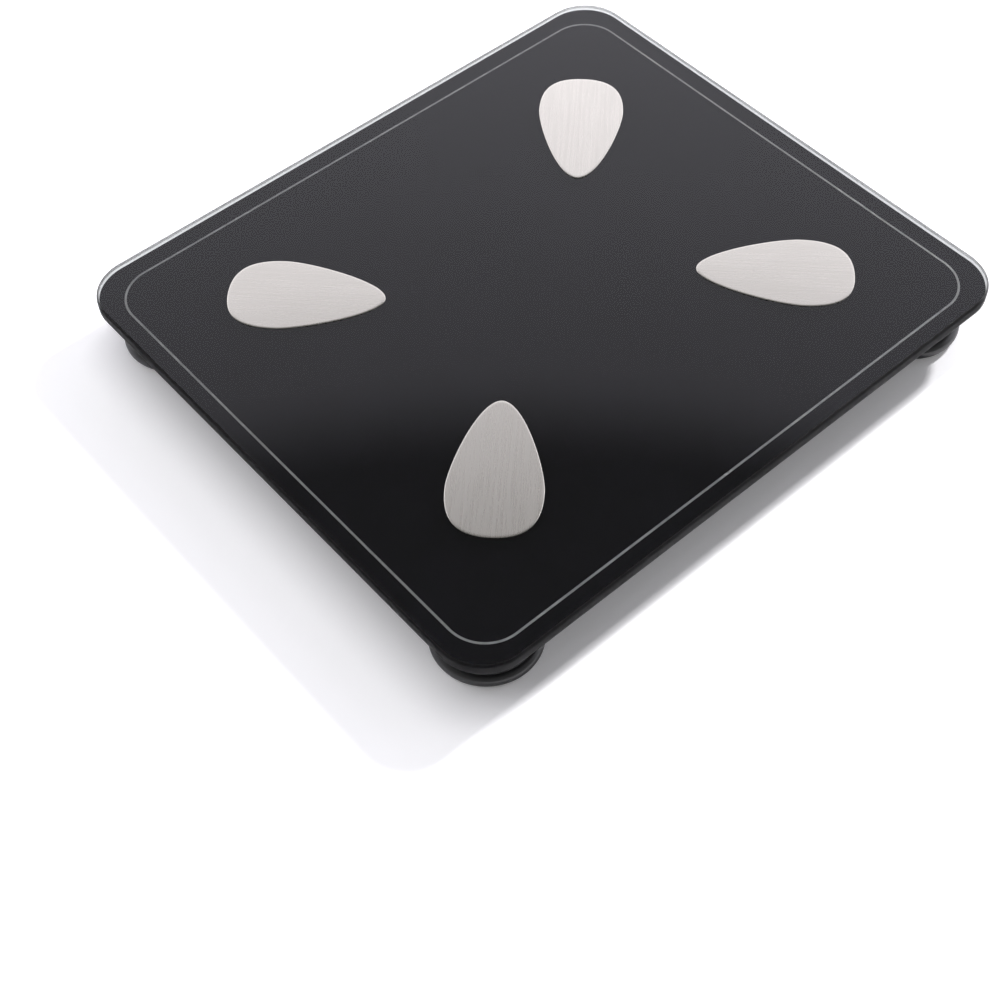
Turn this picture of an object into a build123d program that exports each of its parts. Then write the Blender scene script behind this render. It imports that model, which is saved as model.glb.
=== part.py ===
"""Body-fat bathroom scale: a black-backed glass platform with four steel electrodes, carried by a
moulded base whose corner pods stand on four telescoping load-cell feet.

Millimetres. +X runs along the long side, +Y along the short side, +Z up. The origin lies on the
floor, under the middle of the platform.
"""

import os
from math import radians, sqrt, tan

from build123d import *

os.makedirs("parts", exist_ok=True)

# ---------------------------------------------------------------- driving dimensions
# Platform
platform_length = 303.0
platform_width = 267.0
corner_radius = 21.5
glass_thickness = 6.0
arris = 0.8
film_thickness = 0.2
border_inset = 9.75
border_width = 1.0
border_corner = 18.0

# Electrodes: teardrops whose tips point at the middle of the platform
electrode_length = 68.5
electrode_width = 39.6
electrode_thickness = 0.5
electrode_rim = 0.3
electrode_tip_radius = 3.9
electrode_inset = 68.4
electrode_widest = 0.331  # share of the length, from the blunt end, where it is widest
electrode_centroid = 0.443  # share of the length, from the blunt end, of its centroid
blunt_fullness = 0.68
shoulder_fullness = 0.70
flank_fullness = 0.24
stud_radius = 2.0
stud_clearance = 0.4
terminal_clearance = 0.2
nut_clearance = 0.1
terminal_radius = 4.5
terminal_thickness = 0.5
terminal_tab = 9.0
terminal_tab_width = 3.0
nut_across_flats = 7.0
nut_height = 2.4
stud_past_nut = 0.4

# Base housing
ground_clearance = 8.0
base_depth = 16.0
base_inset = 12.0
land_inset = 8.0
land_thickness = 1.8
wall = 2.2
draft_angle = 3.0
base_edge_radius = 3.0
glue_gap = 0.8
glue_width = 5.0
glue_inset = 1.0
rib_thickness = 1.4
rib_drop = 3.1
rib_pitch = 34.0
rib_keep_off = 27.0

# Corner units
pod_inset = 27.75
pod_radius = 20.6
spigot_radius = 19.4
foot_radius = 23.0
foot_ring_height = 6.0
foot_floor = 2.2
foot_edge_radius = 2.6
foot_play = 0.4
cell_bend = 0.4
running_gap = 0.3
slide_clearance = 0.5
pad_radius = 19.0
pad_thickness = 1.8
pad_stand = 1.0
pad_groove_radii = (7.0, 11.0, 15.0)
pad_groove_width = 1.2
pad_groove_depth = 0.6
pad_edge = 0.4
post_radius = 6.0
post_wall = 1.6
snap_count = 3
snap_circle = 12.0
snap_width = 5.0
snap_thickness = 1.2
snap_hook = 1.0
snap_hook_height = 1.4
snap_gap = 0.1

# Load cells and their holders
cell_size = 28.0
cell_corner = 7.0
cell_thickness = 2.2
cell_slit = 1.8
cell_frame_width = 4.6
tongue_width = 10.0
dimple_radius = 3.0
dimple_height = 0.4
gauge_length = 7.0
gauge_width = 6.0
gauge_thickness = 0.7
gauge_corner = 1.5
holder_roof = 7.3
holder_relief_radius = 10.0
holder_relief_depth = 1.5
holder_core_depth = 3.0
holder_core_inner = 10.5
holder_rib_count = 8
holder_fit = 0.3
holder_lip_width = 6.0
holder_lip_reach = 0.8
lead_notch_width = 4.0
lead_notch_length = 8.8

# Main board and display
board_length = 116.0
board_width = 34.0
board_thickness = 1.6
board_inset = 49.5
board_corner = 2.2
board_post_inset = 4.5
board_post_radius = 3.2
screw_radius = 1.1
screw_head_radius = 2.3
screw_head_height = 1.5
screw_head_round = 0.5
screw_length = 7.0
screw_clearance = 0.15
display_length = 66.0
display_width = 22.0
display_height = 4.4
display_offset = 2.0
display_corner = 1.4
digit_count = 4
digit_length = 9.5
digit_width = 15.0
digit_pitch = 13.5
digit_depth = 0.6
digit_stroke = 1.4
gasket_width = 3.0
gasket_thickness = 1.0
chip_size = 9.0
chip_height = 1.4
chip_edge = 0.35
chip_x = -26.0
header_size = 7.0
header_height = 3.8
header_socket_length = 3.5
header_socket_width = 4.2
header_socket_depth = 1.3
header_inset_x = 4.0
header_offset_y = 6.0

# Unit button and its switch
button_inset = 16.0
button_radius = 5.2
button_clearance = 0.3
button_recess = 0.4
button_dish = 0.5
button_travel = 0.5
button_dish_radius = 9.0
button_dish_depth = 0.6
button_gap = 0.1
button_edge = 0.2
button_flange = 1.4
button_flange_height = 0.8
button_stem_radius = 2.0
button_guide_wall = 1.2
switch_size = 6.0
switch_height = 3.3
plunger_radius = 1.7
plunger_height = 0.9

# Battery box and door
battery_offset = 79.0
cell_diameter = 10.5
cell_length = 44.5
nub_radius = 1.9
nub_height = 1.0
battery_round = 0.5
cell_count = 3
cell_pitch = 11.0
battery_clearance = 0.3
spring_room = 5.0
plate_room = 1.2
contact_thickness = 0.3
contact_width = 8.0
contact_height = 8.0
contact_bend = 0.6
spring_lean = 1.7
box_wall = 1.6
saddle_thickness = 0.8
saddle_drop = 2.1
door_length = 58.0
door_width = 40.0
door_thickness = 1.8
door_gap = 0.4
hinge_radius = 1.5
pin_radius = 1.0
pin_length = 2.0
pin_clearance = 0.06
ear_thickness = 3.2
ear_height = 5.2
latch_width = 12.0
latch_sheet = 1.0
latch_reach = 3.4
latch_height = 4.7
latch_side_gap = 1.0
latch_nub_reach = 1.1
latch_nub_height = 1.1
latch_bend = 1.1
grip_groove_count = 3
grip_groove_pitch = 2.4
grip_groove_width = 1.0
grip_groove_depth = 0.5
grip_groove_length = 18.0

# Leads
cell_lead_radius = 0.8
electrode_lead_radius = 0.6
battery_lead_radius = 0.6
lead_bend = 3.5

# ---------------------------------------------------------------- derived heights
base_bottom = ground_clearance
floor_top = base_bottom + wall
film_top = base_bottom + base_depth
film_bottom = film_top - film_thickness
glass_top = film_top + glass_thickness
rim_top = film_bottom - glue_gap
land_bottom = rim_top - land_thickness
rib_top = rim_top - rib_drop

foot_bottom = pad_stand
foot_floor_top = foot_bottom + foot_floor
foot_rim_top = foot_bottom + foot_ring_height
spigot_bottom = foot_floor_top + cell_bend + running_gap
pod_floor_top = spigot_bottom + wall
pod_shoulder = foot_rim_top + cell_bend + running_gap
spigot_inner = spigot_radius - wall
pod_inner = pod_radius - wall

cell_top = film_bottom - holder_roof
cell_bottom = cell_top - cell_thickness
post_top = cell_bottom - dimple_height
hook_bottom = pod_floor_top + foot_play + snap_gap

board_top = film_bottom - gasket_thickness - display_height
board_bottom = board_top - board_thickness
switch_tip = board_bottom - switch_height - plunger_height
button_top = switch_tip - button_travel - button_gap

door_bottom = base_bottom
door_top = door_bottom + door_thickness
cell_axis = door_top + battery_clearance + cell_diameter / 2
box_ceiling = cell_axis + cell_diameter / 2 + battery_clearance
cell_lead_z = rib_top + cell_lead_radius
electrode_lead_z = rib_top + electrode_lead_radius
nut_top = film_bottom - terminal_thickness
nut_bottom = nut_top - nut_height

# ---------------------------------------------------------------- derived plan positions
corner_x = platform_length / 2 - pod_inset
corner_y = platform_width / 2 - pod_inset
electrode_x = platform_length / 2 - electrode_inset
electrode_y = platform_width / 2 - electrode_inset
base_length = platform_length - 2 * base_inset
base_width = platform_width - 2 * base_inset
base_corner = pod_inset - base_inset
draft_shift = (rim_top - base_bottom) * tan(radians(draft_angle))
base_foot_length = base_length - 2 * draft_shift
base_foot_width = base_width - 2 * draft_shift
base_foot_corner = base_corner - draft_shift
land_length = platform_length - 2 * land_inset
land_width = platform_width - 2 * land_inset
land_corner = pod_inset - land_inset
glue_length = land_length - 2 * glue_inset
glue_breadth = land_width - 2 * glue_inset
glue_corner = land_corner - glue_inset
board_y = platform_width / 2 - board_inset
display_y = board_y + display_offset
button_x = board_length / 2 - button_inset
battery_y = board_y - battery_offset

pocket_length = cell_length + spring_room + plate_room
pocket_width = (cell_count - 1) * cell_pitch + cell_diameter + 2 * battery_clearance
opening_length = door_length + 2 * door_gap
opening_width = door_width + 2 * door_gap
rim_plate_height = 2 * hinge_radius - door_thickness + box_wall
hinge_y = battery_y - door_width / 2 + hinge_radius
hinge_z = door_bottom + hinge_radius
latch_y = battery_y + pocket_width / 2 + box_wall + door_gap
latch_top = door_top + latch_height
notch_end_y = latch_y + latch_reach + 2 * latch_sheet + 2 * door_gap

corners = {
    "front_left": (-1, -1),
    "front_right": (1, -1),
    "rear_left": (-1, 1),
    "rear_right": (1, 1),
}
pod_centres = [(sx * corner_x, sy * corner_y) for sx, sy in corners.values()]
electrode_centres = [(sx * electrode_x, sy * electrode_y) for sx, sy in corners.values()]
screw_x = board_length / 2 - board_post_inset
screw_y = board_width / 2 - board_post_inset
screw_spots = [(sx * screw_x, board_y + sy * screw_y) for sx, sy in corners.values()]
battery_rows = [battery_y + (row - (cell_count - 1) / 2) * cell_pitch for row in range(cell_count)]


def save(node, label):
    """Name a finished piece and write its own STEP file."""
    node.part.label = label
    export_step(node.part, f"parts/{label}.step")


def lead_direction(sx, sy):
    """The way a load cell's lead leaves its corner: inwards at the rear, rearwards at the front."""
    return (-sx, 0) if sy > 0 else (0, 1)


def corner_plane(sx, sy, height):
    """A plane over a foot's centre, with its X along the way the cell's lead leaves."""
    return Plane(
        origin=(sx * corner_x, sy * corner_y, height),
        x_dir=(*lead_direction(sx, sy), 0),
        z_dir=(0, 0, 1),
    )


# ---------------------------------------------------------------- glass, film and border line
with BuildPart() as glass_platform:
    with BuildSketch(Plane.XY.offset(film_top)):
        RectangleRounded(platform_length, platform_width, corner_radius)
    extrude(amount=glass_thickness)
    chamfer(glass_platform.edges().group_by(Axis.Z)[-1], length=arris)
    chamfer(glass_platform.edges().group_by(Axis.Z)[0], length=arris)
    with BuildSketch(Plane.XY.offset(film_top)):
        with Locations(*electrode_centres):
            Circle(stud_radius + stud_clearance)
    extrude(amount=glass_thickness, mode=Mode.SUBTRACT)
save(glass_platform, "glass_platform")

film_length = platform_length - 2 * arris
film_width = platform_width - 2 * arris
border_length = platform_length - 2 * border_inset
border_breadth = platform_width - 2 * border_inset

with BuildPart() as border_line:
    with BuildSketch(Plane.XY.offset(film_bottom)):
        RectangleRounded(
            border_length + border_width, border_breadth + border_width, border_corner + border_width / 2
        )
        RectangleRounded(
            border_length - border_width,
            border_breadth - border_width,
            border_corner - border_width / 2,
            mode=Mode.SUBTRACT,
        )
    extrude(amount=film_thickness)
save(border_line, "border_line")

with BuildPart() as black_film:
    with BuildSketch(Plane.XY.offset(film_bottom)):
        RectangleRounded(film_length, film_width, corner_radius - arris)
        with Locations(*electrode_centres):
            Circle(stud_radius + stud_clearance, mode=Mode.SUBTRACT)
    extrude(amount=film_thickness)
    add(border_line.part, mode=Mode.SUBTRACT)
save(black_film, "black_film")

# ---------------------------------------------------------------- electrodes
half_width = electrode_width / 2
widest_at = electrode_widest * electrode_length
tip_run = (electrode_length - widest_at) * (1 - flank_fullness)
tip_handle = sqrt(2 * electrode_tip_radius * tip_run / 3)

for name, (sx, sy) in corners.items():
    reach = electrode_centroid * electrode_length / sqrt(2)
    blunt_end = (sx * (electrode_x + reach), sy * (electrode_y + reach), glass_top)
    electrode_plane = Plane(origin=blunt_end, x_dir=(-sx, -sy, 0), z_dir=(0, 0, 1))
    with BuildPart() as electrode:
        with BuildSketch(electrode_plane):
            with BuildLine():
                Bezier(
                    (0, 0),
                    (0, blunt_fullness * half_width),
                    (widest_at * (1 - shoulder_fullness), half_width),
                    (widest_at, half_width),
                )
                Bezier(
                    (widest_at, half_width),
                    (widest_at + flank_fullness * (electrode_length - widest_at), half_width),
                    (electrode_length, tip_handle),
                    (electrode_length, 0),
                )
                mirror(about=Plane.XZ)
            make_face()
        extrude(amount=electrode_thickness)
        fillet(electrode.edges().group_by(Axis.Z)[-1], radius=electrode_rim)
        with BuildSketch(Plane.XY.offset(glass_top)):
            with Locations((sx * electrode_x, sy * electrode_y)):
                Circle(stud_radius)
        extrude(amount=nut_bottom - stud_past_nut - glass_top)
    save(electrode, f"electrode_{name}")

with BuildPart() as electrode_terminals:
    for sx, sy in corners.values():
        with BuildSketch(Plane.XY.offset(nut_top)):
            with Locations((sx * electrode_x, sy * electrode_y)):
                Circle(terminal_radius)
                with Locations((-sx * terminal_tab / 2, 0)):
                    Rectangle(terminal_tab, terminal_tab_width)
                Circle(stud_radius + terminal_clearance, mode=Mode.SUBTRACT)
        extrude(amount=terminal_thickness)
save(electrode_terminals, "electrode_terminals")

with BuildPart() as electrode_nuts:
    with BuildSketch(Plane.XY.offset(nut_bottom)):
        with Locations(*electrode_centres):
            RegularPolygon(nut_across_flats / 2, 6, major_radius=False)
            Circle(stud_radius + nut_clearance, mode=Mode.SUBTRACT)
    extrude(amount=nut_height)
save(electrode_nuts, "electrode_nuts")

# ---------------------------------------------------------------- base housing
with BuildPart() as base_housing:
    # Drafted tray with a rounded lower edge, a glue land round its rim and the four pods
    with BuildSketch(Plane.XY.offset(base_bottom)):
        RectangleRounded(base_foot_length, base_foot_width, base_foot_corner)
    extrude(amount=rim_top - base_bottom, taper=-draft_angle)
    fillet(base_housing.edges().group_by(Axis.Z)[0], radius=base_edge_radius)
    with BuildSketch(Plane.XY.offset(land_bottom)):
        RectangleRounded(land_length, land_width, land_corner)
    extrude(amount=land_thickness)
    with BuildSketch(Plane.XY.offset(pod_shoulder)):
        with Locations(*pod_centres):
            Circle(pod_radius)
    extrude(amount=rim_top - pod_shoulder)
    with BuildSketch(Plane.XY.offset(spigot_bottom)):
        with Locations(*pod_centres):
            Circle(spigot_radius)
    extrude(amount=pod_shoulder - spigot_bottom)

    # Hollow inside
    with BuildSketch(Plane.XY.offset(floor_top)):
        RectangleRounded(
            base_foot_length - 2 * wall, base_foot_width - 2 * wall, base_foot_corner - wall
        )
    extrude(amount=rim_top - floor_top, taper=-draft_angle, mode=Mode.SUBTRACT)
    with BuildSketch(Plane.XY.offset(pod_shoulder)):
        with Locations(*pod_centres):
            Circle(pod_inner)
    extrude(amount=rim_top - pod_shoulder, mode=Mode.SUBTRACT)
    with BuildSketch(Plane.XY.offset(pod_floor_top)):
        with Locations(*pod_centres):
            Circle(spigot_inner)
    extrude(amount=rim_top - pod_floor_top, mode=Mode.SUBTRACT)

    # Stiffening ribs, kept clear of the pods, the board and the battery box
    rib_rows = int(base_foot_width / 2 / rib_pitch)
    rib_columns = int(base_foot_length / 2 / rib_pitch)
    with BuildSketch(Plane.XY.offset(floor_top)):
        with GridLocations(0, rib_pitch, 1, 2 * rib_rows + 1):
            Rectangle(base_foot_length - wall, rib_thickness)
        with GridLocations(rib_pitch, 0, 2 * rib_columns + 1, 1):
            Rectangle(rib_thickness, base_foot_width - wall)
        with Locations(*pod_centres):
            Circle(rib_keep_off, mode=Mode.SUBTRACT)
        with Locations((0, board_y)):
            Rectangle(board_length + 2 * wall, board_width + 2 * wall, mode=Mode.SUBTRACT)
        with Locations((0, battery_y)):
            Rectangle(opening_length, opening_width, mode=Mode.SUBTRACT)
        with Locations((0, (battery_y + notch_end_y) / 2)):
            Rectangle(latch_width + 2 * latch_side_gap, notch_end_y - battery_y, mode=Mode.SUBTRACT)
    extrude(amount=rib_top - floor_top)

    # Battery box: a rim plate round the door, the box over the cells, and the latch pocket
    with BuildSketch(Plane.XY.offset(floor_top)):
        with Locations((0, battery_y)):
            Rectangle(opening_length + 2 * box_wall, opening_width + 2 * box_wall)
    extrude(amount=door_top + rim_plate_height - floor_top)
    with BuildSketch(Plane.XY.offset(door_top)):
        with Locations((0, battery_y)):
            Rectangle(pocket_length + 2 * box_wall, pocket_width + 2 * box_wall)
    extrude(amount=box_ceiling + box_wall - door_top)
    with BuildSketch(Plane.XY.offset(floor_top)):
        with Locations((0, (battery_y + notch_end_y + box_wall) / 2)):
            Rectangle(
                latch_width + 2 * latch_side_gap + 2 * box_wall, notch_end_y + box_wall - battery_y
            )
    extrude(amount=latch_top + box_wall + battery_clearance - floor_top)
    with BuildSketch(Plane.XY.offset(base_bottom)):
        with Locations((0, battery_y)):
            Rectangle(opening_length, opening_width)
    extrude(amount=door_thickness, mode=Mode.SUBTRACT)
    with BuildSketch(Plane.XY.offset(door_top)):
        with Locations((0, battery_y)):
            Rectangle(pocket_length, pocket_width)
    extrude(amount=box_ceiling - door_top, mode=Mode.SUBTRACT)
    with BuildSketch(Plane.XY.offset(base_bottom)):
        with Locations((0, (latch_y - door_gap + notch_end_y) / 2)):
            Rectangle(latch_width + 2 * latch_side_gap, notch_end_y - latch_y + door_gap)
    extrude(amount=latch_top + battery_clearance - base_bottom, mode=Mode.SUBTRACT)

    # Hinge: a channel for the door's bead and an ear with a pin hole at each end
    with BuildSketch(Plane.XY.offset(floor_top)):
        with Locations(
            (-(opening_length + ear_thickness) / 2, hinge_y), ((opening_length + ear_thickness) / 2, hinge_y)
        ):
            Rectangle(ear_thickness, 2 * ear_height)
    extrude(amount=hinge_z + hinge_radius + box_wall - floor_top)
    with BuildSketch(Plane.YZ.offset(-opening_length / 2)):
        with Locations((hinge_y, hinge_z)):
            Circle(hinge_radius + door_gap)
    extrude(amount=opening_length, mode=Mode.SUBTRACT)
    with BuildSketch(Plane.YZ.offset(-opening_length / 2 - pin_length - door_gap)):
        with Locations((hinge_y, hinge_z)):
            Circle(pin_radius + pin_clearance)
    extrude(amount=opening_length + 2 * pin_length + 2 * door_gap, mode=Mode.SUBTRACT)

    # Saddles that part the cells
    with BuildSketch(Plane.XY.offset(box_ceiling)):
        for row in range(cell_count - 1):
            with Locations((0, battery_rows[row] + cell_pitch / 2)):
                Rectangle(pocket_length, saddle_thickness)
    extrude(amount=-saddle_drop)

    # Posts for the board, with pilot holes for its screws
    with BuildSketch(Plane.XY.offset(floor_top)):
        with Locations(*screw_spots):
            Circle(board_post_radius)
    extrude(amount=board_bottom - floor_top)
    with BuildSketch(Plane.XY.offset(board_bottom)):
        with Locations(*screw_spots):
            Circle(screw_radius + screw_clearance)
    extrude(amount=-screw_length, mode=Mode.SUBTRACT)

    # Button hole with its guide tube, in a shallow finger dish
    with BuildSketch(Plane.XY.offset(floor_top)):
        with Locations((button_x, board_y)):
            Circle(button_radius + button_flange + button_clearance + button_guide_wall)
            Circle(button_radius + button_flange + button_clearance, mode=Mode.SUBTRACT)
    extrude(amount=button_flange_height + button_travel)
    with BuildSketch(Plane.XY.offset(base_bottom)):
        with Locations((button_x, board_y)):
            Circle(button_radius + button_clearance)
    extrude(amount=wall, mode=Mode.SUBTRACT)
    with BuildSketch(Plane.XY.offset(base_bottom)):
        with Locations((button_x, board_y)):
            Circle(button_dish_radius)
    extrude(amount=button_dish_depth, taper=draft_angle, mode=Mode.SUBTRACT)

    # Pod floors: a hole for each foot's post and a slot for each of its snap arms
    for sx, sy in corners.values():
        with BuildSketch(corner_plane(sx, sy, spigot_bottom)):
            Circle(post_radius + slide_clearance)
            with PolarLocations(snap_circle + (snap_thickness + snap_hook) / 2, snap_count):
                Rectangle(
                    snap_thickness + snap_hook + 2 * slide_clearance, snap_width + 2 * slide_clearance
                )
        extrude(amount=wall, mode=Mode.SUBTRACT)
save(base_housing, "base_housing")

with BuildPart() as glue_bead:
    with BuildSketch(Plane.XY.offset(rim_top)):
        RectangleRounded(glue_length, glue_breadth, glue_corner)
        RectangleRounded(
            glue_length - 2 * glue_width,
            glue_breadth - 2 * glue_width,
            glue_corner - glue_width,
            mode=Mode.SUBTRACT,
        )
        with Locations(*pod_centres):
            Circle(pod_radius - running_gap)
            Circle(pod_inner + running_gap, mode=Mode.SUBTRACT)
    extrude(amount=glue_gap)
save(glue_bead, "glue_bead")

# ---------------------------------------------------------------- corner units
slit_half = cell_size / 2 - cell_frame_width
for name, (sx, sy) in corners.items():
    with BuildPart() as load_cell:
        with BuildSketch(corner_plane(sx, sy, cell_bottom)):
            RectangleRounded(cell_size, cell_size, cell_corner)
            with Locations((-slit_half + cell_slit / 2, 0)):
                Rectangle(cell_slit, 2 * slit_half, mode=Mode.SUBTRACT)
            with Locations((0, slit_half - cell_slit / 2), (0, cell_slit / 2 - slit_half)):
                Rectangle(2 * slit_half, cell_slit, mode=Mode.SUBTRACT)
            with Locations((0, tongue_width / 2 + cell_slit / 2), (0, -tongue_width / 2 - cell_slit / 2)):
                Rectangle(2 * slit_half - 2 * cell_slit, cell_slit, mode=Mode.SUBTRACT)
        extrude(amount=cell_thickness)
        with BuildSketch(corner_plane(sx, sy, cell_bottom)):
            Circle(dimple_radius)
        extrude(amount=-dimple_height)
    save(load_cell, f"load_cell_{name}")

    with BuildPart() as cell_holder:
        with BuildSketch(corner_plane(sx, sy, cell_bottom)):
            Circle(pod_inner - holder_fit)
        extrude(amount=film_bottom - cell_bottom)
        with BuildSketch(corner_plane(sx, sy, cell_bottom)):
            RectangleRounded(cell_size + 2 * holder_fit, cell_size + 2 * holder_fit, cell_corner + holder_fit)
        extrude(amount=cell_thickness, mode=Mode.SUBTRACT)
        with BuildSketch(corner_plane(sx, sy, cell_top)):
            Circle(holder_relief_radius)
        extrude(amount=holder_relief_depth, mode=Mode.SUBTRACT)
        with BuildSketch(corner_plane(sx, sy, cell_bottom)):
            with Locations((pod_inner - wall, 0)):
                Rectangle(lead_notch_length, lead_notch_width)
        extrude(amount=cell_thickness, mode=Mode.SUBTRACT)
        with BuildSketch(corner_plane(sx, sy, film_bottom)):
            Circle(pod_inner - holder_fit - wall)
            Circle(holder_core_inner, mode=Mode.SUBTRACT)
            with PolarLocations(0, holder_rib_count):
                Rectangle(2 * pod_inner, rib_thickness, mode=Mode.SUBTRACT)
        extrude(amount=-holder_core_depth, mode=Mode.SUBTRACT)
        with BuildSketch(corner_plane(sx, sy, cell_bottom)):
            with PolarLocations(cell_size / 2 + holder_fit, 2, start_angle=90):
                Rectangle(2 * holder_lip_reach, holder_lip_width)
        extrude(amount=-holder_lip_reach)
    save(cell_holder, f"cell_holder_{name}")

    with BuildPart() as foot:
        with BuildSketch(corner_plane(sx, sy, foot_bottom)):
            Circle(foot_radius)
        extrude(amount=foot_ring_height)
        with BuildSketch(corner_plane(sx, sy, foot_floor_top)):
            Circle(spigot_radius + slide_clearance)
        extrude(amount=foot_rim_top - foot_floor_top, mode=Mode.SUBTRACT)
        outer_edges = foot.edges().filter_by(GeomType.CIRCLE).group_by(SortBy.RADIUS)[-1]
        fillet(outer_edges, radius=foot_edge_radius)
        with BuildSketch(corner_plane(sx, sy, foot_bottom)):
            Circle(pad_radius + running_gap)
        extrude(amount=pad_thickness - pad_stand, mode=Mode.SUBTRACT)
        with BuildSketch(corner_plane(sx, sy, foot_floor_top)):
            Circle(post_radius)
            Circle(post_radius - post_wall, mode=Mode.SUBTRACT)
            Rectangle(2 * post_radius - post_wall, rib_thickness)
            Rectangle(rib_thickness, 2 * post_radius - post_wall)
        extrude(amount=post_top - foot_floor_top)
        with BuildSketch(corner_plane(sx, sy, foot_floor_top)):
            with PolarLocations(snap_circle + snap_thickness / 2, snap_count):
                Rectangle(snap_thickness, snap_width)
        extrude(amount=hook_bottom + snap_hook_height - foot_floor_top)
        with BuildSketch(corner_plane(sx, sy, hook_bottom)):
            with PolarLocations(snap_circle + (snap_thickness + snap_hook) / 2, snap_count):
                Rectangle(snap_thickness + snap_hook, snap_width)
        extrude(amount=snap_hook_height)
    save(foot, f"foot_{name}")

    with BuildPart() as foot_pad:
        with BuildSketch(corner_plane(sx, sy, 0)):
            Circle(pad_radius)
        extrude(amount=pad_thickness)
        chamfer(foot_pad.edges().group_by(Axis.Z)[0], length=pad_edge)
        with BuildSketch(corner_plane(sx, sy, 0)):
            for radius in pad_groove_radii:
                Circle(radius + pad_groove_width / 2)
                Circle(radius - pad_groove_width / 2, mode=Mode.SUBTRACT)
        extrude(amount=pad_groove_depth, mode=Mode.SUBTRACT)
    save(foot_pad, f"foot_pad_{name}")

with BuildPart() as gauge_patches:
    for sx, sy in corners.values():
        with BuildSketch(corner_plane(sx, sy, cell_top)):
            with Locations((gauge_length / 2, 0)):
                RectangleRounded(gauge_length, gauge_width, gauge_corner)
        extrude(amount=gauge_thickness)
save(gauge_patches, "gauge_patches")

# ---------------------------------------------------------------- main board and display
header_x = board_length / 2 - header_inset_x - header_size / 2
header_spots = [(sx * header_x, board_y + sy * header_offset_y) for sx, sy in corners.values()]

with BuildPart() as main_board:
    with BuildSketch(Plane.XY.offset(board_bottom)):
        with Locations((0, board_y)):
            RectangleRounded(board_length, board_width, board_corner)
        with Locations(*screw_spots):
            Circle(screw_radius + screw_clearance, mode=Mode.SUBTRACT)
    extrude(amount=board_thickness)
save(main_board, "main_board")

with BuildPart() as board_screws:
    with BuildSketch(Plane.XY.offset(board_top)):
        with Locations(*screw_spots):
            Circle(screw_head_radius)
    extrude(amount=screw_head_height)
    fillet(board_screws.edges().group_by(Axis.Z)[-1], radius=screw_head_round)
    with BuildSketch(Plane.XY.offset(board_top)):
        with Locations(*screw_spots):
            Circle(screw_radius)
    extrude(amount=screw_clearance + board_thickness - screw_length)
save(board_screws, "board_screws")

with BuildPart() as display_module:
    with BuildSketch(Plane.XY.offset(board_top)):
        with Locations((0, display_y)):
            RectangleRounded(display_length, display_width, display_corner)
    extrude(amount=display_height)
    with BuildSketch(Plane.XY.offset(board_top + display_height)):
        with Locations((0, display_y)):
            with GridLocations(digit_pitch, 0, digit_count, 1):
                Rectangle(digit_length, digit_width)
                Rectangle(digit_length - 2 * digit_stroke, digit_width - 2 * digit_stroke, mode=Mode.SUBTRACT)
                Rectangle(digit_length, digit_stroke)
    extrude(amount=-digit_depth, mode=Mode.SUBTRACT)
save(display_module, "display_module")

with BuildPart() as display_gasket:
    with BuildSketch(Plane.XY.offset(board_top + display_height)):
        with Locations((0, display_y)):
            RectangleRounded(display_length, display_width, display_corner)
            Rectangle(display_length - 2 * gasket_width, display_width - 2 * gasket_width, mode=Mode.SUBTRACT)
    extrude(amount=gasket_thickness)
save(display_gasket, "display_gasket")

with BuildPart() as control_chip:
    with BuildSketch(Plane.XY.offset(board_bottom)):
        with Locations((chip_x, board_y)):
            Rectangle(chip_size, chip_size)
    extrude(amount=-chip_height)
    chamfer(control_chip.edges().group_by(Axis.Z)[0], length=chip_edge)
save(control_chip, "control_chip")

with BuildPart() as lead_headers:
    with BuildSketch(Plane.XY.offset(board_top)):
        with Locations(*header_spots):
            Rectangle(header_size, header_size)
    extrude(amount=header_height)
    with BuildSketch(Plane.XY.offset(board_top + header_height)):
        with Locations(*header_spots):
            Rectangle(header_socket_length, header_socket_width)
    extrude(amount=-header_socket_depth, mode=Mode.SUBTRACT)
save(lead_headers, "lead_headers")

with BuildPart() as unit_switch:
    with BuildSketch(Plane.XY.offset(board_bottom)):
        with Locations((button_x, board_y)):
            Rectangle(switch_size, switch_size)
    extrude(amount=-switch_height)
    with BuildSketch(Plane.XY.offset(board_bottom - switch_height)):
        with Locations((button_x, board_y)):
            Circle(plunger_radius)
    extrude(amount=-plunger_height)
save(unit_switch, "unit_switch")

dish_radius = (button_radius**2 + button_dish**2) / (2 * button_dish)
with BuildPart() as unit_button:
    with BuildSketch(Plane.XY.offset(base_bottom + button_recess)):
        with Locations((button_x, board_y)):
            Circle(button_radius)
    extrude(amount=floor_top - base_bottom - button_recess)
    fillet(unit_button.edges().group_by(Axis.Z)[0], radius=button_edge)
    with BuildSketch(Plane.XY.offset(floor_top)):
        with Locations((button_x, board_y)):
            Circle(button_radius + button_flange)
    extrude(amount=button_flange_height)
    with BuildSketch(Plane.XY.offset(floor_top + button_flange_height)):
        with Locations((button_x, board_y)):
            Circle(button_stem_radius)
    extrude(amount=button_top - floor_top - button_flange_height)
    with Locations((button_x, board_y, base_bottom + button_recess + button_dish - dish_radius)):
        Sphere(dish_radius - button_edge, mode=Mode.SUBTRACT)
save(unit_button, "unit_button")

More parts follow.
